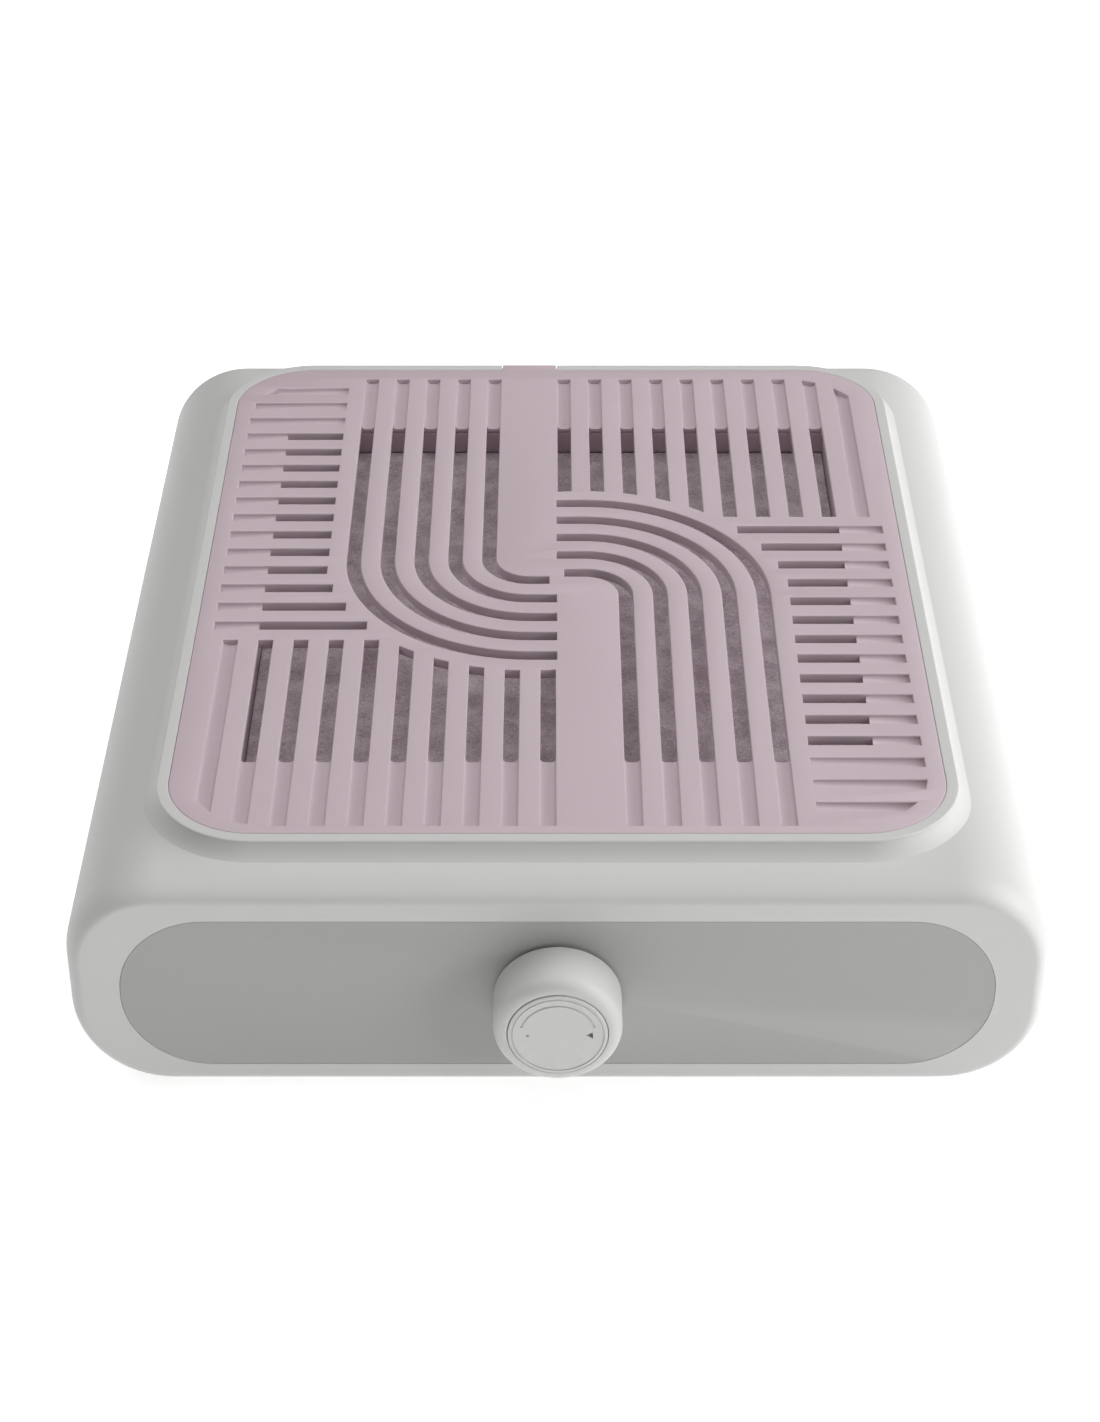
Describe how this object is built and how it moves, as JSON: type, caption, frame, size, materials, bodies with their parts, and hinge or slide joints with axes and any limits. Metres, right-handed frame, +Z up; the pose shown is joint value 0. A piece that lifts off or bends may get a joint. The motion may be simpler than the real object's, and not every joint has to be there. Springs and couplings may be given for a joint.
{
  "type": "nail dust collector",
  "caption": "Low desk-top suction box with a slotted hand-rest panel over a lift-out filter and fan, and a speed knob on its front.",
  "frame": {"origin": "centre of the whole object's bounding box in plan, knob included, on the surface that the feet stand on", "axes": "+X to the user's right, +Y from the knob to the exhaust at the back, +Z up"},
  "size_m": [0.2504, 0.299, 0.0706],
  "materials": {
    "shell_grey": "fine satin moulded plastic, pale warm grey",
    "panel_grey": "satin mid-grey film-faced plate",
    "lilac": "satin moulded plastic, dusty pink-lilac",
    "fleece": "mottled non-woven fleece",
    "filter_mauve": "satin moulded plastic, dull mauve",
    "filter_white": "plain off-white moulding",
    "black_plastic": "fine-textured black moulding",
    "rubber": "matt",
    "foam": "closed-cell foam",
    "steel": "zinc-plated",
    "copper": "enamelled copper windings",
    "board_green": "solder-resist green"
  },
  "bodies": {
    "housing": {"base_plate": "shell_grey", "base_screw_1": "steel", "base_screw_2": "steel", "base_screw_3": "steel", "base_screw_4": "steel", "base_screw_5": "steel", "base_screw_6": "steel", "bearing_lower": "steel", "bearing_tube": "black_plastic", "bearing_upper": "steel", "board_connector": "filter_white", "board_screw_1": "steel", "board_screw_2": "steel", "capacitor": "black_plastic", "control_board": "board_green", "dc_socket": "black_plastic", "dc_socket_nut": "steel", "deck_screw_1": "steel", "deck_screw_2": "steel", "deck_screw_3": "steel", "deck_screw_4": "steel", "fan_deck": "black_plastic", "fan_housing": "black_plastic", "fan_screw_1": "steel", "fan_screw_2": "steel", "fan_screw_3": "steel", "fan_screw_4": "steel", "front_panel": "panel_grey", "heat_sink": "steel", "motor_lead": "black_plastic", "motor_stator": "copper", "potentiometer": "steel", "potentiometer_nut": "steel", "power_lead": "black_plastic", "rubber_foot_1": "rubber", "rubber_foot_2": "rubber", "rubber_foot_3": "rubber", "rubber_foot_4": "rubber", "upper_housing": "shell_grey"},
    "grille": {"grille_panel": "lilac"},
    "filter": {"filter_frame": "filter_mauve", "filter_fleece": "fleece", "filter_pleats": "filter_white", "filter_gasket": "foam"},
    "knob": {"knob_body": "shell_grey", "knob_cap": "shell_grey", "potentiometer_shaft": "steel"},
    "fan": {"fan_impeller": "black_plastic", "rotor_cup": "steel", "magnet_ring": "rubber", "motor_shaft": "steel", "shaft_clip": "steel"}
  },
  "joints": [
    {"name": "knob_turn", "type": "hinge", "parent": "housing", "child": "knob", "pos_m": [0, -0.14, 0.0333], "axis": [0, 1, 0], "range_deg": [0, 280]},
    {"name": "grille_lift", "type": "slide", "parent": "housing", "child": "grille", "axis": [0, 0, 1], "range_m": [0, 0.06]},
    {"name": "filter_lift", "type": "slide", "parent": "housing", "child": "filter", "axis": [0, 0, 1], "range_m": [0, 0.03]},
    {"name": "fan_spin", "type": "hinge", "parent": "housing", "child": "fan", "pos_m": [0, 0.0075, 0.02], "axis": [0, 0, 1], "continuous": true}
  ],
  "couplings": [
    {"joint": "filter_lift", "follows": "grille_lift", "ratio": 0.5}
  ]
}
